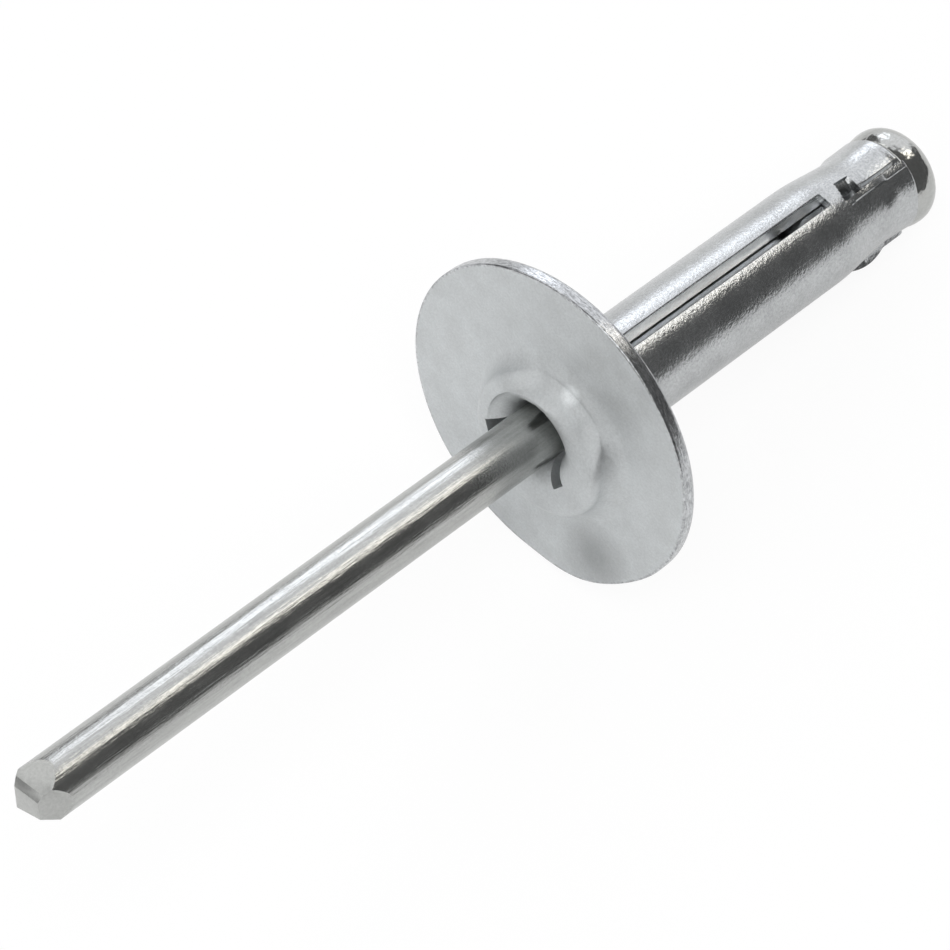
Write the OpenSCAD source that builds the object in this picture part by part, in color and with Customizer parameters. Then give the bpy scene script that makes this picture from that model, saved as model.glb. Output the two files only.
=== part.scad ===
// Large-flange blind rivet with a three-slot body, lying at rest on its flange rim and its mandrel head.
// Built along its own axis from the front plane of the flange, blind end up, then laid down by rest().

/* [Flange] */
// Diameter of the thin round flange
flange_d = 16.3; // [15:0.1:17]
// Thickness of the flange at its rim
flange_t = 0.72; // [0.6:0.02:0.9]
// Edge radius on the front of the rim
rim_front_r = 0.08; // [0.04:0.02:0.16]
// Edge radius on the back of the rim
rim_back_r = 0.2; // [0.1:0.02:0.28]

/* [Hub] */
// Height of the raised hub above the front of the flange
hub_h = 1.28; // [1.1:0.02:1.5]
// Diameter of the hub at its ridge
hub_d = 7.6; // [7.2:0.1:8]
// Offset of the hub ring from the rivet axis, as pressed
hub_shift = 0.5; // [0:0.05:0.6]
// Radius that rounds the hub ridge
hub_ridge_r = 0.3; // [0.2:0.02:0.4]
// Radius of the rounded lip that leads into the bore
lip_r = 1.5; // [1.3:0.05:1.6]

/* [Shank] */
// Outside diameter of the slotted shank
shank_d = 5.2; // [5.1:0.02:5.4]
// Length of the body from the front of the flange to the blind end
body_l = 23.3; // [23:0.1:24.5]
// Bore through the body for the mandrel
bore_d = 2.9; // [2.84:0.02:3]
// Fillet between the shank and the back of the flange
root_r = 0.2; // [0.1:0.02:0.3]

/* [Slots] */
// Width of each of the three slots
slot_w = 0.76; // [0.6:0.02:0.9]
// Distance of the slot ends from the blind end
slot_back = 5.0; // [4.7:0.1:6.4]
// Length by which the end wall of a slot leans on inside
slot_rake = 0.6; // [0.1:0.05:0.7]
// Turn of the first slot about the axis
slot_turn = 68.5; // [66:0.5:72]

/* [Crimp] */
// Length of the pressed waist, up to the blind end
waist_l = 5.5; // [5:0.1:6.4]
// Distance of the narrowest section from the blind end
waist_back = 1.6; // [1.2:0.1:2]
// Diameter at the narrowest section
waist_d = 4.66; // [4.5:0.02:4.9]
// Diameter of the blind end under the mandrel head
blind_d = 4.84; // [4.76:0.02:4.96]
// Thickness of each pressed fin
fin_w = 0.34; // [0.24:0.02:0.44]
// Diameter over the crest of the fins
fin_d = 5.7; // [5.6:0.02:5.74]
// Distance of the fin crests from the blind end
fin_back = 2.7; // [2.5:0.1:2.9]
// Diameter over the low ridge that runs from each fin to the blind end
ridge_d = 5.2; // [5:0.05:5.3]
// Turn of the first and third fin from their slots
fin_turn = 18; // [14:0.5:20]
// Turn of the second fin from its slot
fin_turn_2 = 9.5; // [8:0.5:20]
// Depth of the pocket beside each fin
pocket_deep = 0.36; // [0.2:0.02:0.5]

/* [Mandrel] */
// Diameter of the mandrel wire
stem_d = 2.69; // [2.6:0.01:2.72]
// Length of the stem in front of the flange
stem_l = 31.18; // [28:0.1:33]
// Distance of the break neck from the blind end
neck_back = 7.6; // [7.4:0.1:8.4]
// Length of the break neck
neck_l = 1.8; // [1.6:0.1:2]
// Smallest diameter of the break neck
neck_d = 1.7; // [1.4:0.1:2]

/* [Mandrel head] */
// Diameter of the mandrel head
head_d = 5.04; // [5:0.02:5.1]
// Diameter of the head where it sits on the body
head_seat_d = 4.72; // [4.6:0.02:4.8]
// Height of the head up to its rounded edge
head_h = 1.8; // [1.7:0.02:1.9]
// Radius of the rounded head edge
head_edge_r = 1; // [0.8:0.02:1.1]
// Rise of the crown above the rounded edge
head_crown = 0.12; // [0.08:0.02:0.2]

/* [Cut tip] */
// Angle of the cut facets to the axis
tip_slope = 26; // [22:1:30]
// Distance from the axis to the upper facet at the end of the stem
tip_upper = 0.67; // [0.6:0.01:0.74]
// Distance from the axis to the side facet towards the viewer
tip_side = 0.68; // [0.6:0.01:0.74]
// Distance from the axis to the lower facet
tip_lower = 0.64; // [0.6:0.01:0.74]
// Distance from the axis to the far facet
tip_far = 0.75; // [0.66:0.01:0.8]
// Distance from the axis to the sheared step above the end face
tip_step = 0.44; // [0.36:0.01:0.5]

/* [Rest] */
// Side of the rivet that lies on the floor, as a turn about the axis
down_turn = 246.6; // [230:0.1:260]

/* [Hidden] */
$fn = 96;
eps = 0.01;
flange_r = flange_d / 2;
shank_r = shank_d / 2;
bore_r = bore_d / 2;
stem_r = stem_d / 2;
neck_r = neck_d / 2;
head_r = head_d / 2;
head_seat_r = head_seat_d / 2;
hub_r = hub_d / 2;
waist_r = waist_d / 2;
blind_r = blind_d / 2;
fin_r = fin_d / 2;
ridge_r = ridge_d / 2;
slot_count = 3;
slot_pitch = 360 / slot_count;

// The foot of the hub and the lip of the bore are arcs that meet their flat faces at a low edge.
foot_r = hub_h - hub_ridge_r;
blend = 0.03;
lip_top_r = bore_r + lip_r;
hub_root = flange_t / 2;
slot_reach = shank_r - 0.04;
slot_mouth = flange_t + root_r;
slot_end = body_l - slot_back;
slot_lean = slot_rake / (shank_r - bore_r);

// An S-shaped step leads from the shank down to the waist.
waist_start = body_l - waist_l;
waist_mid = body_l - waist_back;
waist_drop = shank_r - waist_r;
waist_run = waist_mid - waist_start;
waist_steps = 8;

// Each fin is the crest of a disc that stands in a plane through the axis.
fin_mid = body_l - fin_back;
fin_turns = [fin_turn, fin_turn_2, fin_turn];
fin_base_r = waist_r + 0.08;
fin_half = 1.6;
fin_rise = fin_r - fin_base_r;
fin_bend = (fin_half * fin_half + fin_rise * fin_rise) / (2 * fin_rise);
fin_root_r = bore_r + (waist_r - bore_r) / 2;
ridge_from = fin_mid + 1.2;
pocket_l = 1.2;
pocket_w = 0.85;
pocket_mid = fin_mid - 0.9;
pocket_lean = 24;

// The side of the head swells from its seat to its widest place, where the rounded edge begins.
// The crown is a shallow spherical cap inside the rounded edge.
head_top = body_l + head_h;
edge_s = head_top - head_edge_r;
swell_l = edge_s - body_l;
swell = head_r - head_seat_r;
swell_bend = (swell_l * swell_l + swell * swell) / (2 * swell);
cap_r = head_r - head_edge_r;
crown_bend = (cap_r * cap_r + head_crown * head_crown) / (2 * head_crown);

// The break neck, with a flank at each side.
neck_start = body_l - neck_back;
neck_flank = neck_l * 0.42;
neck_end = neck_start + neck_l;

// Facet directions, as turns about the axis.
upper_turn = 53.8;
side_turn = 140.8;
lower_turn = 221.3;
far_turn = 322.5;
step_slope = 56;
cut_size = stem_d * 2;

// The rivet rests on the back edge of its rim and on the rounded edge of its head.
rim_s = flange_t - rim_back_r;
rim_r = flange_r - rim_back_r;
span_s = edge_s - rim_s;
span_r = rim_r - cap_r;
span = sqrt(span_s * span_s + span_r * span_r);
rest_tilt = atan(span_r / span_s) + asin((rim_back_r - head_edge_r) / span);
floor_drop = rim_s * sin(rest_tilt) + rim_r * cos(rest_tilt) + rim_back_r;

// The lowest corner of the cut tip and the top of the head set the length at rest.
corner_turn = far_turn - lower_turn;
corner_x = (tip_lower * sin(far_turn) - tip_far * sin(lower_turn)) / sin(corner_turn);
corner_y = (tip_far * cos(lower_turn) - tip_lower * cos(far_turn)) / sin(corner_turn);
corner_down = corner_x * cos(down_turn) + corner_y * sin(down_turn);
x_high = edge_s * cos(rest_tilt) + cap_r * sin(rest_tilt) + head_edge_r;
x_low = -stem_l * cos(rest_tilt) - corner_down * sin(rest_tilt);
x_mid = (x_high + x_low) / 2;

body_colour = [0.78, 0.79, 0.80];
mandrel_colour = [0.72, 0.73, 0.75];

// Lays a part that was built along its axis down on the floor.
module rest() {
    translate([-x_mid, 0, floor_drop])
        rotate([0, 90 + rest_tilt, 0])
            rotate([0, 0, -down_turn])
                children();
}

// Section of the flange with both rim edges rounded.
module flange_section() {
    square([flange_r - rim_back_r, flange_t]);
    translate([0, rim_front_r])
        square([flange_r, flange_t - rim_front_r - rim_back_r]);
    square([flange_r - rim_front_r, rim_front_r * 2]);
    translate([flange_r - rim_front_r, rim_front_r])
        circle(r = rim_front_r);
    translate([flange_r - rim_back_r, flange_t - rim_back_r])
        circle(r = rim_back_r);
}

// Section of the fillet where the shank leaves the flange.
module root_section() {
    difference() {
        translate([shank_r - eps, flange_t - eps])
            square(root_r + eps);
        translate([shank_r + root_r, flange_t + root_r])
            circle(r = root_r);
    }
}

// Section of the raised hub, with a rounded ridge and a concave foot.
module hub_section() {
    translate([0, -hub_h])
        square([hub_r - hub_ridge_r, hub_h + hub_root]);
    translate([hub_r - hub_ridge_r, -hub_h + hub_ridge_r])
        circle(r = hub_ridge_r);
    translate([0, -foot_r])
        square([hub_r, foot_r + hub_root]);
    difference() {
        translate([hub_r - eps, -foot_r])
            square([foot_r + eps, foot_r + hub_root]);
        translate([hub_r + foot_r, -foot_r + blend])
            circle(r = foot_r);
    }
}

// Section of the shank with the pressed waist at the blind end, as a run of short cones.
module shank_section() {
    polygon([
        [0, 0],
        [shank_r, 0],
        for (i = [0 : waist_steps])
            [
                shank_r - waist_drop * (1 - cos(180 * i / waist_steps)) / 2,
                waist_start + waist_run * i / waist_steps
            ],
        [blind_r, body_l],
        [0, body_l]
    ]);
}

// Section of the bore with the rounded lip that opens at the hub.
module bore_section() {
    translate([0, -hub_h - 1])
        square([bore_r, body_l + hub_h + 2]);
    translate([0, -hub_h - 1])
        square([lip_top_r, 1]);
    difference() {
        translate([0, -hub_h - eps])
            square([lip_top_r, lip_r + eps]);
        translate([lip_top_r, -hub_h + lip_r - blend])
            circle(r = lip_r);
    }
}

// One pressed fin, cut from a disc in a plane through the axis.
module fin() {
    intersection() {
        translate([fin_r - fin_bend, fin_w / 2, fin_mid])
            rotate([90, 0, 0])
                cylinder(r = fin_bend, h = fin_w);
        translate([fin_root_r, -fin_w, fin_mid - 2])
            cube([fin_r, fin_w * 2, 4]);
    }
    translate([fin_root_r, -fin_w / 2, ridge_from])
        cube([ridge_r - fin_root_r, fin_w, body_l - ridge_from]);
}

// The pocket that the crimping jaw left beside a fin, its floor falling towards the fin.
module pocket() {
    translate([waist_r + 0.12, -fin_w / 2, pocket_mid])
        rotate([0, 0, pocket_lean])
            translate([-pocket_deep, -pocket_w, -pocket_l / 2])
                cube([1, pocket_w, pocket_l]);
}

// Outline of one slot in a plane through the axis. Its end wall leans on towards the blind end inside.
module slot_outline() {
    polygon([
        [0, slot_mouth],
        [shank_r + 1, slot_mouth],
        [shank_r + 1, slot_end - slot_lean],
        [bore_r, slot_end + slot_rake],
        [0, slot_end + slot_rake]
    ]);
}

// The three long slots. They run out through the hub, inside the line of the shank.
module slots() {
    for (i = [0 : slot_count - 1])
        rotate([0, 0, slot_turn + i * slot_pitch]) {
            translate([0, -slot_w / 2, -hub_h - 1])
                cube([slot_reach, slot_w, hub_h + 1 + slot_mouth * 2]);
            rotate([90, 0, 0])
                linear_extrude(height = slot_w, center = true)
                    slot_outline();
        }
}

module rivet_body() {
    color(body_colour)
        rest()
            difference() {
                union() {
                    rotate_extrude() {
                        flange_section();
                        root_section();
                        shank_section();
                    }
                    translate([-hub_shift, 0, 0])
                        rotate_extrude()
                            hub_section();
                    for (i = [0 : slot_count - 1])
                        rotate([0, 0, slot_turn + fin_turns[i] + i * slot_pitch])
                            fin();
                }
                rotate_extrude()
                    bore_section();
                slots();
                for (i = [0 : slot_count - 1])
                    rotate([0, 0, slot_turn + fin_turns[i] + i * slot_pitch])
                        pocket();
            }
}

// Removes all that lies outside one slanted facet of the cut tip.
module facet_cut(turn, reach, slope) {
    rotate([0, 0, turn])
        translate([reach, 0, -stem_l])
            rotate([0, slope, 0])
                translate([0, -cut_size / 2, -cut_size])
                    cube([cut_size, cut_size, cut_size * 2]);
}

// Section of the stem, necked down where it breaks when the rivet is set.
module stem_section() {
    polygon([
        [0, -stem_l],
        [stem_r, -stem_l],
        [stem_r, neck_start],
        [neck_r, neck_start + neck_flank],
        [neck_r, neck_end - neck_flank],
        [stem_r, neck_end],
        [stem_r, body_l + eps],
        [0, body_l + eps]
    ]);
}

// Section of the head, with a swelling side, a rounded edge and a low crown.
module head_section() {
    intersection() {
        translate([0, body_l])
            square([head_r, swell_l]);
        translate([head_r - swell_bend, edge_s])
            circle(r = swell_bend, $fn = 720);
    }
    translate([0, body_l])
        square([cap_r, head_h]);
    intersection() {
        translate([cap_r, edge_s])
            circle(r = head_edge_r);
        translate([0, edge_s])
            square([head_r, head_edge_r * 2]);
    }
    intersection() {
        translate([0, head_top + head_crown - crown_bend])
            circle(r = crown_bend, $fn = 720);
        translate([0, edge_s])
            square([cap_r, head_crown + head_edge_r + 1]);
    }
}

module mandrel() {
    color(mandrel_colour)
        rest()
            difference() {
                rotate_extrude() {
                    stem_section();
                    head_section();
                }
                facet_cut(upper_turn, tip_upper, tip_slope);
                facet_cut(upper_turn, tip_step, step_slope);
                facet_cut(side_turn, tip_side, tip_slope);
                facet_cut(lower_turn, tip_lower, tip_slope);
                facet_cut(far_turn, tip_far, tip_slope);
            }
}

rivet_body();
mandrel();
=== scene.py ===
"""Dresses a large-flange blind rivet: a pressed slotted body and a necked mandrel, lying on a pale floor.

Each piece is modelled in millimetres along the rivet's own axis, from the front plane of the flange,
with the blind end up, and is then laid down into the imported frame, in metres.
"""

import logging
import math
from dataclasses import dataclass
from enum import Enum
from typing import Any, Callable, Iterable, Sequence

import bmesh
import bpy
from mathutils import Euler, Matrix, Vector, noise

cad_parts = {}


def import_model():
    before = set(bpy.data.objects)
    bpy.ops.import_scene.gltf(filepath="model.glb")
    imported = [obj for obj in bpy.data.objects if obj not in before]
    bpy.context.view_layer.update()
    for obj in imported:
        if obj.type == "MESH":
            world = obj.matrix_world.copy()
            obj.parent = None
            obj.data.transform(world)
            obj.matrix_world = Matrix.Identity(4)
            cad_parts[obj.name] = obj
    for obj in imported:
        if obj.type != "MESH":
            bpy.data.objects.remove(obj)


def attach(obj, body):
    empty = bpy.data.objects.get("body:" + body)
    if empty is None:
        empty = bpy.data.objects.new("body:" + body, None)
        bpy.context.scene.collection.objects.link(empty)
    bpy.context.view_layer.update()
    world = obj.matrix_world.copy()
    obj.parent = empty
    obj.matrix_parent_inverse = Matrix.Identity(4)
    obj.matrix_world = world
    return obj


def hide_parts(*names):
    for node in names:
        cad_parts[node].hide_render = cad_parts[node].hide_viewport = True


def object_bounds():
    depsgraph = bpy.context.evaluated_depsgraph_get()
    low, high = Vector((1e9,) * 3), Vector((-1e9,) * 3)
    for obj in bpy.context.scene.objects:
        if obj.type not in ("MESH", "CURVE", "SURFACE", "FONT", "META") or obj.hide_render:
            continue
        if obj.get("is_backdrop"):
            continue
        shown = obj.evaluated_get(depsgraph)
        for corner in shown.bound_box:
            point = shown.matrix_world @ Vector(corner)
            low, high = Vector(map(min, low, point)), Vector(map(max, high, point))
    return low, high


Socket = bpy.types.NodeSocket
Tree = bpy.types.NodeTree
Solid = bmesh.types.BMesh
Inputs = dict[Any, Any]
Pair = tuple[float, float]

log = logging.getLogger("rivet")

MM = 0.001
# How near, in millimetres, two points count as one, or a point as on a line, or on a plane or the axis.
WELD = 1e-5
ON_LINE = 1e-4
ON_PLANE = 1e-6


class Slot(Enum):
    """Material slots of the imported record."""

    BODY = "body"
    MANDREL = "mandrel"


class Kind(Enum):
    """Kinds of shader node that the finishes, the floor and the room are made of."""

    PLACE = "ShaderNodeTexCoord"
    MAPPING = "ShaderNodeMapping"
    APART = "ShaderNodeSeparateXYZ"
    TOGETHER = "ShaderNodeCombineXYZ"
    VECTOR = "ShaderNodeVectorMath"
    MATH = "ShaderNodeMath"
    RANGE = "ShaderNodeMapRange"
    MIX = "ShaderNodeMix"
    NOISE = "ShaderNodeTexNoise"
    BUMP = "ShaderNodeBump"
    METAL = "ShaderNodeBsdfPrincipled"
    PAPER = "ShaderNodeBsdfDiffuse"
    GLOW = "ShaderNodeEmission"
    MIX_SHADERS = "ShaderNodeMixShader"
    RAYS = "ShaderNodeLightPath"
    SURFACE = "ShaderNodeOutputMaterial"
    BACKGROUND = "ShaderNodeBackground"
    WORLD = "ShaderNodeOutputWorld"


def linear(code: str) -> tuple[float, float, float, float]:
    """Turns an sRGB hex colour into linear RGBA.

    Args:
        code: Six hex digits.

    Returns:
        The linear colour with an alpha of 1.
    """
    parts = [int(code[i : i + 2], 16) / 255 for i in (0, 2, 4)]
    flat = [p / 12.92 if p <= 0.04045 else ((p + 0.055) / 1.055) ** 2.4 for p in parts]
    return (flat[0], flat[1], flat[2], 1.0)


def add_node(tree: Tree, kind: Kind, links: Inputs | None = None, **settings: Any) -> bpy.types.Node:
    """Adds a node, with its settings, its socket values and its links.

    Args:
        tree: Tree that gets the node.
        kind: Kind of node.
        links: Values or output sockets, by the name or number of the input.
        settings: Properties of the node.

    Returns:
        The new node.
    """
    node = tree.nodes.new(kind.value)
    for key, value in settings.items():
        setattr(node, key, value)
    for key, value in (links or {}).items():
        if isinstance(value, Socket):
            tree.links.new(value, node.inputs[key])
        else:
            node.inputs[key].default_value = value
    return node


def start_material(name: str) -> tuple[bpy.types.Material, Tree]:
    """Makes a material with an empty tree.

    Args:
        name: Name of the finish.

    Returns:
        The material and its tree.
    """
    mat = bpy.data.materials.new(name)
    mat.use_nodes = True
    mat.node_tree.nodes.clear()
    return mat, mat.node_tree


def end_metal(tree: Tree, colour: Socket, rough: Socket, height: Socket, relief: float) -> None:
    """Ends the tree of a bare metal.

    Args:
        tree: Tree of the material.
        colour: Colour of the metal.
        rough: Roughness.
        height: Height of the fine relief, from 0 to about 1.
        relief: Height that 1 stands for, in millimetres.
    """
    relief_of = {"Height": height, "Strength": 1.0, "Distance": relief * MM}
    normal = add_node(tree, Kind.BUMP, relief_of).outputs[0]
    surface = {"Base Color": colour, "Metallic": 1.0, "Roughness": rough, "Normal": normal}
    add_node(tree, Kind.SURFACE, {"Surface": add_node(tree, Kind.METAL, surface).outputs[0]})


def smooth(edge0: float, edge1: float, value: float) -> float:
    """Eases from 0 at edge0 to 1 at edge1.

    Args:
        edge0: Where the step starts.
        edge1: Where the step inputs.
        value: Place on the step.

    Returns:
        A number from 0 to 1.
    """
    t = min(max((value - edge0) / (edge1 - edge0), 0.0), 1.0)
    return t * t * (3 - 2 * t)


def hump(value: float, centre: float, half: float) -> float:
    """Gives a soft hump.

    Args:
        value: Place.
        centre: Place of the top.
        half: Half of the hump's width.

    Returns:
        1 at the centre, 0 from half a width away.
    """
    d = abs(value - centre) / half
    return 0.0 if d >= 1 else (1 - d * d) ** 2


def turn_gap(a: float, b: float) -> float:
    """Gives the signed turn from b to a.

    Args:
        a: First turn, in degrees.
        b: Second turn, in degrees.

    Returns:
        The gap, from -180 to 180 degrees.
    """
    return (a - b + 180) % 360 - 180


@dataclass(frozen=True)
class Axial:
    """Place of a shaded point on the rivet's own axis, as sockets in millimetres."""

    where: Socket
    radius: Socket
    along: Socket


@dataclass(frozen=True)
class Lay:
    """How the rivet lies. Tilt and turn in degrees, shift and lift in millimetres."""

    tilt: float
    shift: float
    lift: float
    down_turn: float = 246.6

    def matrix(self) -> Matrix:
        """Gives the transform from the rivet's own axis, in millimetres, to the frame, in metres."""
        tilt = Matrix.Rotation(math.radians(90 + self.tilt), 4, "Y")
        turn = Matrix.Rotation(math.radians(-self.down_turn), 4, "Z")
        return Matrix.Scale(MM, 4) @ Matrix.Translation((self.shift, 0, self.lift)) @ tilt @ turn

    def axial(self, tree: Tree) -> Axial:
        """Turns Object coordinates back to the rivet's own axis.

        Args:
            tree: Tree that gets the nodes.

        Returns:
            The place across and along the axis, the distance from it, and the place along it.
        """
        back = self.matrix().inverted()
        where = add_node(
            tree,
            Kind.MAPPING,
            {
                "Vector": add_node(tree, Kind.PLACE).outputs["Object"],
                "Location": back.to_translation(),
                "Rotation": back.to_euler("XYZ"),
                "Scale": back.to_scale(),
            },
            vector_type="POINT",
        ).outputs[0]
        apart = add_node(tree, Kind.APART, {0: where}).outputs
        across = add_node(tree, Kind.TOGETHER, {0: apart[0], 1: apart[1]}).outputs[0]
        radius = add_node(tree, Kind.VECTOR, {0: across}, operation="LENGTH").outputs["Value"]
        return Axial(where, radius, apart[2])


def section(corners: Sequence[Pair], rounds: dict[int, tuple[float, int]]) -> Solid:
    """Draws half a section as one face across the axis, with rounded corners.

    Args:
        corners: Radius and place along the axis of each corner.
        rounds: Setback and number of segments of each rounded corner.

    Returns:
        A mesh with the one face.
    """
    bm = bmesh.new()
    verts = [bm.verts.new((r, 0.0, s)) for r, s in corners]
    bm.faces.new(verts)
    for index, (setback, segments) in rounds.items():
        bmesh.ops.bevel(
            bm, geom=[verts[index]], affect="VERTICES", offset=setback, offset_type="OFFSET",
            segments=segments, profile=0.5, material=-1, clamp_overlap=False,
        )
    return bm


def divide(bm: Solid, test: Callable[[Vector, Vector], bool], cuts: int) -> None:
    """Divides the edges whose two inputs pass a test.

    Args:
        bm: Mesh to change.
        test: Says whether an edge from one place to the other is meant.
        cuts: Number of cuts.
    """
    edges = [e for e in bm.edges if test(e.verts[0].co, e.verts[1].co)]
    bmesh.ops.subdivide_edges(bm, edges=edges, cuts=cuts)


def round_line(radius: float, low: float, high: float) -> Callable[[Vector, Vector], bool]:
    """Makes a test for the edges of a section that keep one radius.

    Args:
        radius: Distance of the edges from the axis.
        low: Lowest place along the axis.
        high: Highest place along the axis.

    Returns:
        The test.
    """

    def test(a: Vector, b: Vector) -> bool:
        """Says whether an edge runs along the line."""
        on_line = abs(a.x - radius) < ON_LINE and abs(b.x - radius) < ON_LINE
        return on_line and min(a.z, b.z) > low - ON_LINE and max(a.z, b.z) < high + ON_LINE

    return test


def flat_line(place: float, low: float, high: float) -> Callable[[Vector, Vector], bool]:
    """Makes a test for the edges of a section that lie square to the axis.

    Args:
        place: Place of the edges along the axis.
        low: Smallest radius.
        high: Largest radius.

    Returns:
        The test.
    """

    def test(a: Vector, b: Vector) -> bool:
        """Says whether an edge runs along the line."""
        on_line = abs(a.z - place) < ON_LINE and abs(b.z - place) < ON_LINE
        return on_line and min(a.x, b.x) > low - ON_LINE and max(a.x, b.x) < high + ON_LINE

    return test


def turn_round(bm: Solid, steps: int) -> None:
    """Spins a drawn section into a closed solid of revolution.

    Args:
        bm: Mesh that holds the section.
        steps: Number of steps in the full turn.
    """
    bmesh.ops.delete(bm, geom=list(bm.faces), context="FACES_ONLY")
    on_axis = [e for e in bm.edges if all(abs(v.co.x) < ON_PLANE for v in e.verts)]
    bmesh.ops.delete(bm, geom=on_axis, context="EDGES")
    bmesh.ops.spin(
        bm, geom=list(bm.verts) + list(bm.edges), cent=(0, 0, 0), axis=(0, 0, 1), dvec=(0, 0, 0),
        angle=2 * math.pi, steps=steps, use_merge=True, use_normal_flip=False, use_duplicate=False,
    )
    bmesh.ops.remove_doubles(bm, verts=bm.verts, dist=WELD)
    bmesh.ops.recalc_face_normals(bm, faces=bm.faces)


def shear(bm: Solid, point: Vector, normal: Vector) -> None:
    """Cuts off all that lies beyond a plane, and closes the cut.

    Args:
        bm: Closed mesh.
        point: A point of the plane.
        normal: Direction in which the metal is taken away.
    """
    cut = bmesh.ops.bisect_plane(
        bm, geom=list(bm.verts) + list(bm.edges) + list(bm.faces), dist=ON_PLANE,
        plane_co=point, plane_no=normal, clear_outer=True,
    )
    bmesh.ops.edgeloop_fill(bm, edges=[g for g in cut["geom_cut"] if isinstance(g, bmesh.types.BMEdge)])


def finish_piece(bm: Solid, name: str, lay: Lay, sharp: float) -> bpy.types.Object:
    """Lays a finished mesh down into the frame and makes it an object at the origin.

    Args:
        bm: Mesh in millimetres along the rivet's own axis. It is freed.
        name: Name of the piece.
        lay: How the rivet lies.
        sharp: Angle above which an edge is drawn sharp, in degrees.

    Returns:
        The object.
    """
    bmesh.ops.transform(bm, matrix=lay.matrix(), verts=bm.verts)
    mesh = bpy.data.meshes.new(name)
    bm.to_mesh(mesh)
    bm.free()
    mesh.shade_smooth()
    mesh.set_sharp_from_angle(angle=math.radians(sharp))
    piece = bpy.data.objects.new(name, mesh)
    bpy.context.scene.collection.objects.link(piece)
    return piece


def carve(bm: Solid, cutters: Iterable[Solid]) -> Solid:
    """Cuts solids out of a mesh with exact Booleans.

    Args:
        bm: Mesh that is cut. It is freed.
        cutters: Closed meshes that are taken away. They are freed.

    Returns:
        The mesh that is left.
    """
    held = bpy.data.meshes.new("blank")
    bm.to_mesh(held)
    bm.free()
    blank = bpy.data.objects.new("blank", held)
    bpy.context.scene.collection.objects.link(blank)
    made = [blank]
    for number, tool in enumerate(cutters):
        mesh = bpy.data.meshes.new(f"cutter_{number}")
        tool.to_mesh(mesh)
        tool.free()
        cutter = bpy.data.objects.new(f"cutter_{number}", mesh)
        bpy.context.scene.collection.objects.link(cutter)
        cut = blank.modifiers.new(cutter.name, "BOOLEAN")
        cut.operation, cut.solver, cut.object = "DIFFERENCE", "EXACT", cutter
        made.append(cutter)
    graph = bpy.context.evaluated_depsgraph_get()
    result = bmesh.new()
    result.from_mesh(blank.evaluated_get(graph).to_mesh())
    for thing in made:
        mesh = thing.data
        bpy.data.objects.remove(thing)
        bpy.data.meshes.remove(mesh)
    bmesh.ops.remove_doubles(result, verts=result.verts, dist=WELD)
    return result


@dataclass(frozen=True)
class Span:
    """A range of one value, and the range that it is turned into."""

    low: float
    high: float
    to_low: float = 0.0
    to_high: float = 1.0

    def of(self, value: Socket) -> Inputs:
        """Gives the inputs of a node that turns the value."""
        ends = {"From Min": self.low, "From Max": self.high, "To Min": self.to_low, "To Max": self.to_high}
        return {"Value": value, **ends}


@dataclass(frozen=True)
class Grain:
    """An uneven pattern: its repeats in a millimetre, its finer steps, and how strong those are."""

    scale: float
    detail: float
    rough: float

    def over(self, where: Socket) -> Inputs:
        """Gives the inputs of a node that spreads the pattern over the metal."""
        return {"Vector": where, "Scale": self.scale, "Detail": self.detail, "Roughness": self.rough}


@dataclass(frozen=True)
class PaintedLightPatch:
    """A round patch of painted shade, painted dark reflection or painted highlight. Place and sizes in
    millimetres.
    """

    place: tuple[float, float, float]
    full: float
    gone: float
    share: float


@dataclass(frozen=True)
class PressedSkin:
    """Sockets that the colour, the roughness and the relief of the pressed aluminium share.

    front is 1 on the flange and the hub, rim is 1 on the sheared edge of the flange, and inner is 1 inside
    the slots and the bore, which are painted paler as painted light where shade falls.
    """

    where: Socket
    front: Socket
    rim: Socket
    inner: Socket
    cloud: Socket
    streaks: Socket


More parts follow.
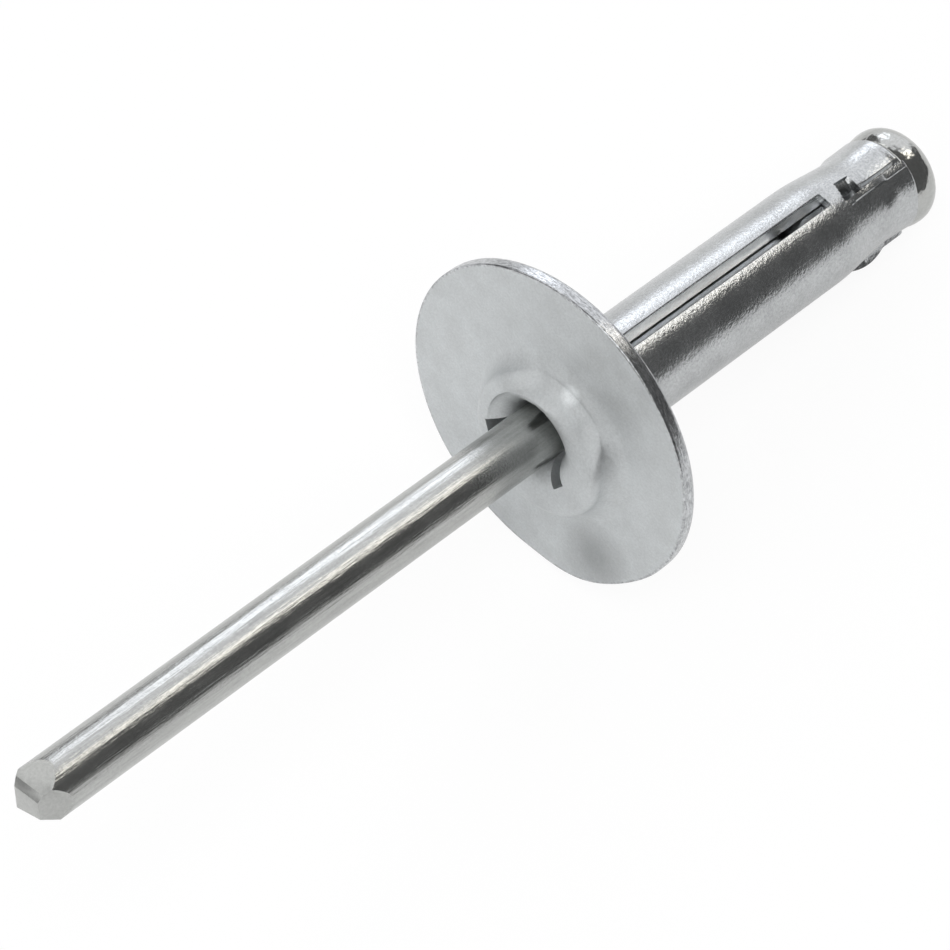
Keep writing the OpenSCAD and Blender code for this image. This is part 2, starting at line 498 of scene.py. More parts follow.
@dataclass(frozen=True)
class PressedAluminium:
    """Soft aluminium, cold-headed and tumbled: a satin grey with a fine broken sheen.

    The tumbling leaves shallow dimples, which break the reflections on the shank into specks. The wide
    flange is duller and paler, because its skin stretched in the press, and its sheared rim shows streaks
    from the tools. Sizes and places in millimetres.
    """

    name: str = "pressed_aluminium"
    colour: str = "B9BBBC"
    dull_colour: str = "D8DBDC"
    rim_colour: str = "C0C2C4"
    # Painted light: the inside of the slots and the bore is painted paler where shade falls.
    inner_painted_light: str = "EDEFF0"
    flange_t: float = 0.72
    rim_r: float = 8.0
    # The outer skin follows the shank in to the crimped waist. What lies under it is the inside.
    skin_r: Span = Span(17.0, 19.5, 2.5, 2.0)
    under_skin: Span = Span(0.0, 0.04)
    behind_face: Span = Span(0.3, 0.6)
    # Slow changes of tone, 1.5 mm and more across.
    cloud: Grain = Grain(0.6, 4.0, 0.55)
    mottle: Span = Span(0.3, 0.7, 0.88, 1.06)
    # Specks of bare and dulled skin, 0.12 mm across, strong on the shank and faint on the flange.
    specks: Grain = Grain(8.0, 3.0, 0.75)
    strong_specks: Span = Span(0.34, 0.66, 0.84, 1.13)
    faint_specks: Span = Span(0.34, 0.66, 0.93, 1.05)
    # Streaks of the shearing tool on the rim, 0.1 mm along the axis and 0.25 mm across it.
    streaks: Grain = Grain(1.0, 3.0, 0.65)
    streak_repeats: tuple[float, float, float] = (4.0, 4.0, 12.0)
    scores: Span = Span(0.36, 0.62, 0.6, 1.15)
    # Tumbling dimples, about 0.17 mm apart.
    dimples: Grain = Grain(6.0, 2.0, 0.6)
    # Finer grain, drawn at 0.07 mm, coarser than the real 0.02 mm.
    grain: Grain = Grain(14.0, 2.0, 0.5)
    grain_share: float = 0.35
    relief: float = 0.016
    shank_rough: Span = Span(0.35, 0.65, 0.19, 0.25)
    front_rough: Span = Span(0.35, 0.65, 0.56, 0.66)
    rim_rough: float = 0.22
    inner_rough: float = 0.32
    # Painted shade in the fins' pockets, painted dark reflections on the flange, a painted highlight by the
    # hub.
    painted_light_patches: tuple[PaintedLightPatch, ...] = (
        # Painted shade in the three pockets beside the fins.
        PaintedLightPatch((0.5, 2.1, 19.75), 0.34, 0.62, 0.25),
        PaintedLightPatch((-2.15, -0.3, 19.75), 0.34, 0.62, 0.25),
        PaintedLightPatch((1.55, -1.5, 19.75), 0.34, 0.62, 0.25),
        # Painted dark reflections on the flange.
        PaintedLightPatch((-6.0, -3.0, 0.0), 0.4, 2.3, 0.7),
        PaintedLightPatch((-1.6, 5.2, 0.0), 0.2, 1.6, 0.9),
        # A painted highlight on the hub.
        PaintedLightPatch((0.5, 3.5, -0.5), 0.3, 0.6, 1.32),
    )

    def skin(self, tree: Tree, axial: Axial) -> PressedSkin:
        """Tells the kinds of skin apart, and makes the patterns that more than one method needs.

        Args:
            tree: Tree of the material.
            axial: Place on the rivet's own axis.

        Returns:
            The shared sockets.
        """
        face = Span(self.flange_t + 0.25, self.flange_t + 0.02)
        edge = Span(self.rim_r - 0.02, self.rim_r + 0.08)
        front = add_node(tree, Kind.RANGE, face.of(axial.along)).outputs[0]
        rim = add_node(tree, Kind.RANGE, edge.of(axial.radius)).outputs[0]
        skin_r = add_node(tree, Kind.RANGE, self.skin_r.of(axial.along)).outputs[0]
        depth = add_node(tree, Kind.MATH, {0: skin_r, 1: axial.radius}, operation="SUBTRACT").outputs[0]
        under = add_node(tree, Kind.RANGE, self.under_skin.of(depth)).outputs[0]
        behind = add_node(tree, Kind.RANGE, self.behind_face.of(axial.along)).outputs[0]
        inner = add_node(tree, Kind.MATH, {0: under, 1: behind}, operation="MULTIPLY").outputs[0]
        cloud = add_node(tree, Kind.NOISE, self.cloud.over(axial.where)).outputs[0]
        inputs = {"Vector": axial.where, "Scale": self.streak_repeats}
        on_rim = add_node(tree, Kind.MAPPING, inputs).outputs[0]
        streaks = add_node(tree, Kind.NOISE, self.streaks.over(on_rim)).outputs[0]
        return PressedSkin(axial.where, front, rim, inner, cloud, streaks)

    def tone(self, tree: Tree, skin: PressedSkin) -> Socket:
        """Gives each kind of skin its own colour, with the inside painted paler as painted light.

        Args:
            tree: Tree of the material.
            skin: The shared sockets.

        Returns:
            The clean colour.
        """
        inputs = {"Factor": skin.front, "A": linear(self.colour), "B": linear(self.dull_colour)}
        tone = add_node(tree, Kind.MIX, inputs, data_type="RGBA").outputs["Result"]
        dark = add_node(tree, Kind.RANGE, self.scores.of(skin.streaks)).outputs[0]
        inputs = {"Factor": 1.0, "A": linear(self.rim_colour), "B": dark}
        scored = add_node(tree, Kind.MIX, inputs, data_type="RGBA", blend_type="MULTIPLY").outputs["Result"]
        # The inside gets the paler colour, painted light in the shade of the slots and the bore.
        for zone, other in ((skin.rim, scored), (skin.inner, linear(self.inner_painted_light))):
            inputs = {"Factor": zone, "A": tone, "B": other}
            tone = add_node(tree, Kind.MIX, inputs, data_type="RGBA").outputs["Result"]
        return tone

    def shade(self, tree: Tree, skin: PressedSkin) -> Socket:
        """Gives the share by which clouds, specks, painted shade, painted dark reflections and a painted
        highlight darken or brighten the colour.

        Args:
            tree: Tree of the material.
            skin: The shared sockets.

        Returns:
            The share.
        """
        mottle = add_node(tree, Kind.RANGE, self.mottle.of(skin.cloud)).outputs[0]
        specks = add_node(tree, Kind.NOISE, self.specks.over(skin.where)).outputs[0]
        strong = add_node(tree, Kind.RANGE, self.strong_specks.of(specks)).outputs[0]
        faint = add_node(tree, Kind.RANGE, self.faint_specks.of(specks)).outputs[0]
        inputs = {"Factor": skin.front, "A": strong, "B": faint}
        speckle = add_node(tree, Kind.MIX, inputs, data_type="FLOAT").outputs["Result"]
        shade = add_node(tree, Kind.MATH, {0: mottle, 1: speckle}, operation="MULTIPLY").outputs[0]
        # Each patch is painted shade, a painted dark reflection or a painted highlight.
        for painted_spot in self.painted_light_patches:
            inputs = {0: skin.where, 1: painted_spot.place}
            near = add_node(tree, Kind.VECTOR, inputs, operation="DISTANCE").outputs["Value"]
            fade = Span(painted_spot.full, painted_spot.gone, painted_spot.share, 1.0)
            patch = add_node(tree, Kind.RANGE, fade.of(near)).outputs[0]
            shade = add_node(tree, Kind.MATH, {0: shade, 1: patch}, operation="MULTIPLY").outputs[0]
        return shade

    def rough(self, tree: Tree, skin: PressedSkin) -> Socket:
        """Gives each kind of skin its own roughness.

        Args:
            tree: Tree of the material.
            skin: The shared sockets.

        Returns:
            The roughness.
        """
        rough = add_node(tree, Kind.RANGE, self.shank_rough.of(skin.cloud)).outputs[0]
        dull = add_node(tree, Kind.RANGE, self.front_rough.of(skin.cloud)).outputs[0]
        for zone, other in ((skin.front, dull), (skin.rim, self.rim_rough), (skin.inner, self.inner_rough)):
            inputs = {"Factor": zone, "A": rough, "B": other}
            rough = add_node(tree, Kind.MIX, inputs, data_type="FLOAT").outputs["Result"]
        return rough

    def height(self, tree: Tree, skin: PressedSkin) -> Socket:
        """Gives the fine relief: dimples and grain, and streaks on the rim.

        Args:
            tree: Tree of the material.
            skin: The shared sockets.

        Returns:
            The height.
        """
        dimples = add_node(tree, Kind.NOISE, self.dimples.over(skin.where)).outputs[0]
        grain = add_node(tree, Kind.NOISE, self.grain.over(skin.where)).outputs[0]
        inputs = {0: grain, 1: self.grain_share, 2: dimples}
        height = add_node(tree, Kind.MATH, inputs, operation="MULTIPLY_ADD").outputs[0]
        inputs = {"Factor": skin.rim, "A": height, "B": skin.streaks}
        return add_node(tree, Kind.MIX, inputs, data_type="FLOAT").outputs["Result"]

    def build(self, lay: Lay) -> bpy.types.Material:
        """Makes the material.

        Args:
            lay: How the rivet lies, for patterns that follow its axis.

        Returns:
            The material.
        """
        mat, tree = start_material(self.name)
        skin = self.skin(tree, lay.axial(tree))
        inputs = {"Factor": 1.0, "A": self.tone(tree, skin), "B": self.shade(tree, skin)}
        colour = add_node(tree, Kind.MIX, inputs, data_type="RGBA", blend_type="MULTIPLY").outputs["Result"]
        end_metal(tree, colour, self.rough(tree, skin), self.height(tree, skin), self.relief)
        return mat


@dataclass(frozen=True)
class WireSkin:
    """Sockets that the colour, the roughness and the relief of the drawn wire share.

    head is 1 on the head, inside is 1 where the wire lies in the body and is painted paler as painted light,
    and cut is 1 on the facets of the tip.
    """

    where: Socket
    head: Socket
    inside: Socket
    cut: Socket
    cloud: Socket
    lines: Socket


@dataclass(frozen=True)
class DrawnWire:
    """Aluminium wire drawn through a die: bright, with fine lines along its length.

    The lines pull each reflection out into a streak. The headed end is smoother and brighter, and the
    sheared facets of the tip are plain and dull. Sizes and places in millimetres.
    """

    name: str = "drawn_aluminium_wire"
    colour: str = "B1B2B0"
    # Painted light: paler where the wire lies in the shade of the body.
    inner_painted_light: str = "EDEFF0"
    on_head: Span = Span(23.2, 23.3)
    in_body: Span = Span(0.6, 1.2)
    # The facets of the tip lie inside the round of the wire.
    under_round: Span = Span(1.32, 1.27)
    at_tip: Span = Span(-20.0, -21.0)
    # Slow changes of tone, 2 mm and more across.
    cloud: Grain = Grain(0.5, 3.0, 0.5)
    mottle: Span = Span(0.3, 0.7, 0.95, 1.04)
    # Die lines, 0.12 mm apart round the wire and 2.5 mm long.
    lines: Grain = Grain(1.0, 3.0, 0.6)
    line_repeats: tuple[float, float, float] = (8.0, 8.0, 0.4)
    # Specks, 0.12 mm across: between the lines on the wire, and alone on the head and the facets.
    specks: Grain = Grain(8.0, 3.0, 0.75)
    lined_specks: Span = Span(0.72, 1.28, 0.86, 1.12)
    bare_specks: Span = Span(0.34, 0.66, 0.94, 1.1)
    # Grain of the wire, 0.11 mm across.
    grain: Grain = Grain(9.0, 2.0, 0.5)
    grain_share: float = 0.35
    # Flats of the upsetting die on the head, 0.3 mm across.
    flats: Grain = Grain(3.0, 1.0, 0.5)
    flat_share: float = 1.8
    relief: float = 0.018
    wire_rough: Span = Span(0.35, 0.65, 0.2, 0.27)
    head_rough: float = 0.17
    cut_rough: float = 0.34

    def skin(self, tree: Tree, axial: Axial) -> WireSkin:
        """Tells the kinds of skin apart, and makes the patterns that more than one method needs.

        Args:
            tree: Tree of the material.
            axial: Place on the rivet's own axis.

        Returns:
            The shared sockets.
        """
        head = add_node(tree, Kind.RANGE, self.on_head.of(axial.along)).outputs[0]
        bare = add_node(tree, Kind.MATH, {0: 1.0, 1: head}, operation="SUBTRACT").outputs[0]
        inside = add_node(tree, Kind.RANGE, self.in_body.of(axial.along)).outputs[0]
        inside = add_node(tree, Kind.MATH, {0: inside, 1: bare}, operation="MULTIPLY").outputs[0]
        under = add_node(tree, Kind.RANGE, self.under_round.of(axial.radius)).outputs[0]
        at_tip = add_node(tree, Kind.RANGE, self.at_tip.of(axial.along)).outputs[0]
        cut = add_node(tree, Kind.MATH, {0: under, 1: at_tip}, operation="MULTIPLY").outputs[0]
        cloud = add_node(tree, Kind.NOISE, self.cloud.over(axial.where)).outputs[0]
        on_wire = add_node(tree, Kind.MAPPING, {"Vector": axial.where, "Scale": self.line_repeats}).outputs[0]
        lines = add_node(tree, Kind.NOISE, self.lines.over(on_wire)).outputs[0]
        return WireSkin(axial.where, head, inside, cut, cloud, lines)

    def shade(self, tree: Tree, skin: WireSkin) -> Socket:
        """Gives the share by which clouds, lines and specks darken or brighten the colour.

        Args:
            tree: Tree of the material.
            skin: The shared sockets.

        Returns:
            The share.
        """
        mottle = add_node(tree, Kind.RANGE, self.mottle.of(skin.cloud)).outputs[0]
        specks = add_node(tree, Kind.NOISE, self.specks.over(skin.where)).outputs[0]
        both = add_node(tree, Kind.MATH, {0: specks, 1: skin.lines}, operation="ADD").outputs[0]
        lined = add_node(tree, Kind.RANGE, self.lined_specks.of(both)).outputs[0]
        bare = add_node(tree, Kind.RANGE, self.bare_specks.of(specks)).outputs[0]
        plain = add_node(tree, Kind.MATH, {0: skin.cut, 1: skin.head}, operation="MAXIMUM").outputs[0]
        inputs = {"Factor": plain, "A": lined, "B": bare}
        worn = add_node(tree, Kind.MIX, inputs, data_type="FLOAT").outputs["Result"]
        return add_node(tree, Kind.MATH, {0: mottle, 1: worn}, operation="MULTIPLY").outputs[0]

    def rough(self, tree: Tree, skin: WireSkin) -> Socket:
        """Gives each kind of skin its own roughness.

        Args:
            tree: Tree of the material.
            skin: The shared sockets.

        Returns:
            The roughness.
        """
        rough = add_node(tree, Kind.RANGE, self.wire_rough.of(skin.cloud)).outputs[0]
        for zone, other in ((skin.head, self.head_rough), (skin.cut, self.cut_rough)):
            inputs = {"Factor": zone, "A": rough, "B": other}
            rough = add_node(tree, Kind.MIX, inputs, data_type="FLOAT").outputs["Result"]
        return rough

    def height(self, tree: Tree, skin: WireSkin) -> Socket:
        """Gives the fine relief: lines and grain on the wire, flats on the head, none on the facets.

        Args:
            tree: Tree of the material.
            skin: The shared sockets.

        Returns:
            The height.
        """
        grain = add_node(tree, Kind.NOISE, self.grain.over(skin.where)).outputs[0]
        inputs = {0: grain, 1: self.grain_share, 2: skin.lines}
        height = add_node(tree, Kind.MATH, inputs, operation="MULTIPLY_ADD").outputs[0]
        flats = add_node(tree, Kind.NOISE, self.flats.over(skin.where)).outputs[0]
        flats = add_node(tree, Kind.MATH, {0: flats, 1: self.flat_share}, operation="MULTIPLY").outputs[0]
        for zone, other in ((skin.head, flats), (skin.cut, 0.5)):
            inputs = {"Factor": zone, "A": height, "B": other}
            height = add_node(tree, Kind.MIX, inputs, data_type="FLOAT").outputs["Result"]
        return height

    def build(self, lay: Lay) -> bpy.types.Material:
        """Makes the material.

        Args:
            lay: How the rivet lies, for the lines along its axis.

        Returns:
            The material.
        """
        mat, tree = start_material(self.name)
        skin = self.skin(tree, lay.axial(tree))
        # Inside the body the wire is painted paler, as painted light where the body's shade falls.
        inputs = {"Factor": skin.inside, "A": linear(self.colour), "B": linear(self.inner_painted_light)}
        tone = add_node(tree, Kind.MIX, inputs, data_type="RGBA").outputs["Result"]
        inputs = {"Factor": 1.0, "A": tone, "B": self.shade(tree, skin)}
        colour = add_node(tree, Kind.MIX, inputs, data_type="RGBA", blend_type="MULTIPLY").outputs["Result"]
        end_metal(tree, colour, self.rough(tree, skin), self.height(tree, skin), self.relief)
        return mat


def block(reach: float, width: float, low: float, high: float, turn: float = 0.0) -> Solid:
    """Makes a closed block that reaches out from the axis.

    Args:
        reach: Furthest radius.
        width: Width across.
        low: Lower end along the axis.
        high: Upper end along the axis.
        turn: Turn about the axis, in degrees.

    Returns:
        The block.
    """
    bm = bmesh.new()
    spin = Matrix.Rotation(math.radians(turn), 4, "Z")
    size = Matrix.Diagonal((reach, width, high - low, 1))
    middle = Matrix.Translation((reach / 2, 0, (low + high) / 2))
    bmesh.ops.create_cube(bm, size=1.0, matrix=spin @ middle @ size)
    return bm


@dataclass
class RivetBody:
    """The pressed body: flange, hub, slotted shank and the crimp at its blind end.

    Sizes in millimetres, turns in degrees. Places along the axis count from the front of the flange.
    """

    name: str = "pressed_body"
    steps: int = 336
    sharp: float = 32.0
    flange_r: float = 8.15
    flange_t: float = 0.72
    rim_front_r: float = 0.08
    rim_back_r: float = 0.2
    hub_h: float = 1.28
    hub_r: float = 3.8
    hub_shift: float = 0.5
    hub_lean: float = 0.18
    hub_wall: Pair = (2.6, 3.5)
    hub_ridge_r: float = 0.38
    hub_foot_r: float = 0.86
    crown_gone: tuple[float, float, float, float] = (8.0, 52.0, 96.0, 150.0)
    crown_slope: Pair = (1.8, 4.6)
    lip_r: float = 1.5
    shank_r: float = 2.6
    body_l: float = 23.3
    bore_r: float = 1.45
    root_r: float = 0.2
    blind_edge_r: float = 0.06
    slot_w: float = 0.76
    slot_end: float = 18.3
    slot_rake: float = 0.6
    slot_turns: tuple[float, ...] = (68.5, 188.5, 308.5)
    slot_mouth: float = 0.92
    # Through the hub and the root of the shank the slots stay just inside the line of the shank. The first
    # one stops short in the hub, where the press smeared metal over its end.
    hub_reaches: tuple[float, ...] = (2.2, 2.56, 2.56)
    hub_cut_end: float = 0.7
    root_reach: float = 2.56
    root_cut: Pair = (0.5, 1.8)
    chamfer: float = 0.05
    waist_start: float = 17.8
    waist_mid: float = 21.7
    waist_r: float = 2.33
    blind_r: float = 2.42
    fin_turns: tuple[float, ...] = (86.5, 198.0, 326.5)
    # How strongly the jaws marked the wall before each fin, and where a print and its groove rise: by the
    # turn from the fin, and by the place along the axis.
    print_shares: tuple[float, ...] = (1.0, 0.1, 0.5)
    print_deep: float = 0.15
    print_turns: Pair = (-58.0, -8.0)
    print_rise: Pair = (20.1, 21.2)
    groove_deep: float = 0.1
    groove_turns: Pair = (-11.0, -6.0)
    groove_rise: Pair = (20.3, 20.7)
    print_fade: Pair = (22.9, 23.25)
    print_faded: float = 0.45
    # Beyond the fin the wall stayed fuller than the waist.
    full_r: float = 2.55
    full_turns: Pair = (8.0, 50.0)
    full_rise: Pair = (21.2, 22.0)
    fin_w: float = 0.34
    fin_flank: float = 0.03
    fin_r: float = 2.85
    fin_root: float = 0.08
    fin_mid: float = 20.6
    fin_half: float = 1.6
    ridge_r: float = 2.6
    ridge_rise: Pair = (21.3, 21.8)
    ridge_drop: float = 0.03
    ridge_end: Pair = (23.1, 23.3)
    pocket_w: float = 0.85
    pocket_mid: float = 19.75
    pocket_half: float = 0.6
    pocket_skew: float = 0.18
    pocket_taper: float = 0.16
    pocket_deep: float = 0.55
    pocket_floor: Pair = (1.1, 0.75)
    bend_turn: float = 216.0
    bend_half: float = 26.0
    bend_from: float = 5.6
    bend: float = 0.24
    ripple: float = 0.02

    def blank(self) -> Solid:
        """Turns the blank of the body from its half section.

        Returns:
            The closed blank, not yet crimped or slotted.
        """
        dense = self.waist_start - 0.4
        corners = [
            (self.bore_r, -self.hub_h),
            (self.hub_r, -self.hub_h),
            (self.hub_r, 0.0),
            (self.flange_r, 0.0),
            (self.flange_r, self.flange_t),
            (self.shank_r, self.flange_t),
            (self.shank_r, dense),
            (self.shank_r, self.body_l),
            (self.bore_r, self.body_l),
        ]
        rounds = {
            0: (self.lip_r, 12),
            1: (self.hub_ridge_r, 7),
            2: (self.hub_foot_r, 8),
            3: (self.rim_front_r, 3),
            4: (self.rim_back_r, 5),
            5: (self.root_r, 4),
            7: (self.blind_edge_r, 2),
        }
        bm = section(corners, rounds)
        divide(bm, flat_line(-self.hub_h, self.bore_r, self.hub_r), 3)
        divide(bm, flat_line(0.0, self.hub_r, self.flange_r), 26)
        divide(bm, round_line(self.flange_r, 0.0, self.flange_t), 5)
        divide(bm, flat_line(self.flange_t, self.shank_r, self.flange_r), 20)
        divide(bm, round_line(self.shank_r, self.flange_t, dense), 24)
        divide(bm, round_line(self.shank_r, dense, self.body_l), 84)
        divide(bm, flat_line(self.body_l, self.bore_r, self.shank_r), 3)
        divide(bm, round_line(self.bore_r, 0.0, self.body_l), 18)
        turn_round(bm, self.steps)
        return bm

    def waist(self, s: float) -> float:
        """Gives the plain radius of the crimped shank.

        Args:
            s: Place along the axis.

        Returns:
            The radius before the jaws' prints and the fins.
        """
        if s >= self.waist_mid:
            share = (s - self.waist_mid) / (self.body_l - self.waist_mid)
            return self.waist_r + (self.blind_r - self.waist_r) * share
        return self.shank_r + (self.waist_r - self.shank_r) * smooth(self.waist_start, self.waist_mid, s)

    def print_of_jaw(self, turn: float, s: float) -> float:
        """Gives how deep the crimping jaws pressed: a broad print, and a crease beside each fin.

        Args:
            turn: Turn about the axis.
            s: Place along the axis.

        Returns:
            The depth.
        """
        deep = 0.0
        for fin, share in zip(self.fin_turns, self.print_shares):
            gap = turn_gap(turn, fin)
            if self.print_turns[0] < gap <= 0:
                broad = self.print_deep * smooth(*self.print_turns, gap) * smooth(*self.print_rise, s)
                groove = self.groove_deep * smooth(*self.groove_turns, gap) * smooth(*self.groove_rise, s)
                deep += share * (broad + groove) * (1 - self.print_faded * smooth(*self.print_fade, s))
            elif 0 < gap < self.full_turns[1]:
                fuller = self.full_r - self.waist(s)
                deep -= fuller * (1 - smooth(*self.full_turns, gap)) * smooth(*self.full_rise, s)
        return deep

    def crest(self, s: float) -> float:
        """Gives the radius of the crest of a fin, and of the low ridge that follows it.

        Args:
            s: Place along the axis.

        Returns:
            The radius.
        """
        rise = self.fin_r - self.waist_r - self.fin_root
        disc = self.fin_r - rise * ((s - self.fin_mid) / self.fin_half) ** 2
        ridge = self.ridge_r * smooth(*self.ridge_rise, s) - self.ridge_drop * smooth(*self.ridge_end, s)
        return max(disc, ridge)

    def fin_wall(self, turn: float) -> float:
        """Gives 1 on a pressed fin and 0 beside it.

        Args:
            turn: Turn about the axis.

        Returns:
            Share of the fin's height.
        """
        nearest = min(abs(turn_gap(turn, centre)) for centre in self.fin_turns)
        across = math.radians(nearest) * self.shank_r
        return 1 - smooth(self.fin_w / 2 - self.fin_flank, self.fin_w / 2 + self.fin_flank, across)

    def pocket(self, turn: float, s: float) -> float:
        """Gives the depth of the pocket that the jaw left beside each fin.

        Args:
            turn: Turn about the axis.
            s: Place along the axis.

        Returns:
            The depth.
        """
        deep = 0.0
        for centre in self.fin_turns:
            across = math.radians(-turn_gap(turn, centre)) * self.waist_r - self.fin_w / 2 + 0.02
            if -0.04 < across < self.pocket_w + 0.1:
                # The pocket is cut askew: its lower wall lies further on away from the fin.
                along = abs(s - self.pocket_mid - self.pocket_skew * across)
                half = self.pocket_half - self.pocket_taper * across
                walls = smooth(-0.03, 0.03, across) * (1 - smooth(half - 0.05, half + 0.04, along))
                at_fin, falling = self.pocket_floor
                deep = max(deep, walls * self.pocket_deep * (at_fin - falling * across / self.pocket_w))
        return deep

    def press_hub(self, v: bmesh.types.BMVert, r: float, turn: float, s: float) -> None:
        """Moves the hub off the axis, leans its wall in, and lets its crown run out on one side.

        Args:
            v: Point to move.
            r: Its distance from the axis in the blank.
            turn: Its turn about the axis.
            s: Its place along the axis in the blank.
        """
        lip_from = self.bore_r + self.lip_r / 2
        if s < self.flange_t / 2 and r > lip_from:
            inner = smooth(lip_from, self.bore_r + self.lip_r + 0.1, r)
            outer = 1 - smooth(self.hub_r + self.hub_foot_r, self.flange_r - 0.6, r)
            v.co.x -= self.hub_shift * inner * outer
            lean = 1 - self.hub_lean * inner * smooth(*self.hub_wall, r) * smooth(0.0, -self.hub_h, s) / r
            v.co.x, v.co.y = v.co.x * lean, v.co.y * lean
        # Between two turns the crown slopes softly down to the flange instead of ending in a ridge.
        start, full, last, end = self.crown_gone
        soft = smooth(start, full, turn) * (1 - smooth(last, end, turn))
        slope = -self.hub_h * (1 - smooth(*self.crown_slope, r))
        if s < -0.001 and r > self.bore_r + 0.3:
            v.co.z += soft * smooth(self.bore_r + 0.3, self.bore_r + 1.2, r) * (slope - s)
        elif s < 0.01 and r > self.hub_r:
            v.co.z += soft * slope

    def bend_flange(self, v: bmesh.types.BMVert, r: float, turn: float, s: float) -> None:
        """Bends the edge of the flange a little on one side, and ripples the whole flange slightly.

        Args:
            v: Point to move.
            r: Its distance from the axis in the blank.
            turn: Its turn about the axis.
            s: Its place along the axis in the blank.
        """
        if r > self.hub_r + 1.0 and s < self.flange_t + 0.01:
            reach = max(0.0, (r - self.bend_from) / (self.flange_r - self.bend_from)) ** 2
            v.co.z -= self.bend * reach * hump(turn_gap(turn, self.bend_turn), 0, self.bend_half)
            wave = noise.noise(Vector((v.co.x, v.co.y, 0)) * 0.35)
            v.co.z += self.ripple * wave * smooth(self.hub_r + 1.0, self.flange_r - 1.0, r)

    def crimp(self, v: bmesh.types.BMVert, r: float, turn: float, s: float) -> None:
        """Squeezes the blind end to its waist, with its prints, pockets, fins and ridges.

        Args:
            v: Point to move.
            r: Its distance from the axis in the blank.
            turn: Its turn about the axis.
            s: Its place along the axis in the blank.
        """
        if s > self.waist_start - 0.3 and r > self.bore_r + 0.05:
            base = self.waist(s) - self.print_of_jaw(turn, s) - self.pocket(turn, s)
            want = base + self.fin_wall(turn) * max(0.0, self.crest(s) - base)
            share = (r - self.bore_r) / (self.shank_r - self.bore_r)
            new = self.bore_r + share * (want - self.bore_r)
            v.co.x, v.co.y = v.co.x * new / r, v.co.y * new / r

    def press(self, bm: Solid) -> None:
        """Moves the blank's points as the press and the crimping jaws did.

        Args:
            bm: The blank.
        """
        for v in bm.verts:
            x, y, s = v.co
            r = math.hypot(x, y)
            turn = math.degrees(math.atan2(y, x)) % 360
            self.press_hub(v, r, turn, s)
            self.bend_flange(v, r, turn, s)
            self.crimp(v, r, turn, s)

    def wall_tool(self, turn: float) -> Solid:
        """Makes the tool that mills one slot through the wall of the shank, up to its leaning end.

        Args:
            turn: Turn of the slot about the axis.

        Returns:
            The tool.
        """
        far = self.slot_end + self.slot_rake + 2
        tool = block(self.shank_r + 1, self.slot_w, self.slot_mouth, far)
        lean = self.slot_rake / (self.shank_r - self.bore_r)
        shear(tool, Vector((self.shank_r, 0, self.slot_end)), Vector((lean, 0, 1)).normalized())
        bmesh.ops.recalc_face_normals(tool, faces=tool.faces)
        bmesh.ops.transform(tool, matrix=Matrix.Rotation(math.radians(turn), 4, "Z"), verts=tool.verts)
        return tool

    def edge_tool(self, turn: float) -> Solid:
        """Makes the tool that breaks the long edges of one slot.

        Args:
            turn: Turn of the slot about the axis.

        Returns:
            The tool, as wide as the slot at its inner side and flared outwards.
        """
        depth = self.chamfer * 4
        tool = block(depth, self.slot_w, self.slot_mouth + 0.1, self.slot_end - 0.02)
        for v in tool.verts:
            if v.co.x > depth / 2:
                v.co.y += math.copysign(depth, v.co.y)
        out = Matrix.Translation((self.shank_r - 0.028 - self.chamfer, 0, 0))
        spin = Matrix.Rotation(math.radians(turn), 4, "Z")
        bmesh.ops.transform(tool, matrix=spin @ out, verts=tool.verts)
        return tool

    def slot_tools(self) -> list[Solid]:
        """Makes the closed tools that mill the three slots.

        Returns:
            One mesh for each cut.
        """
        tools: list[Solid] = []
        for turn, reach in zip(self.slot_turns, self.hub_reaches):
            tools.append(block(reach, self.slot_w, -self.hub_h - 1, self.hub_cut_end, turn))
            tools.append(block(self.root_reach, self.slot_w, *self.root_cut, turn))
            tools.append(self.wall_tool(turn))
            tools.append(self.edge_tool(turn))
        return tools

    def build(self, lay: Lay) -> bpy.types.Object:
        """Makes the body as one piece.

        Args:
            lay: How the rivet lies.

        Returns:
            The piece, laid down in the frame.
        """
        bm = self.blank()
        self.press(bm)
        bm = carve(bm, self.slot_tools())
        return finish_piece(bm, self.name, lay, self.sharp)


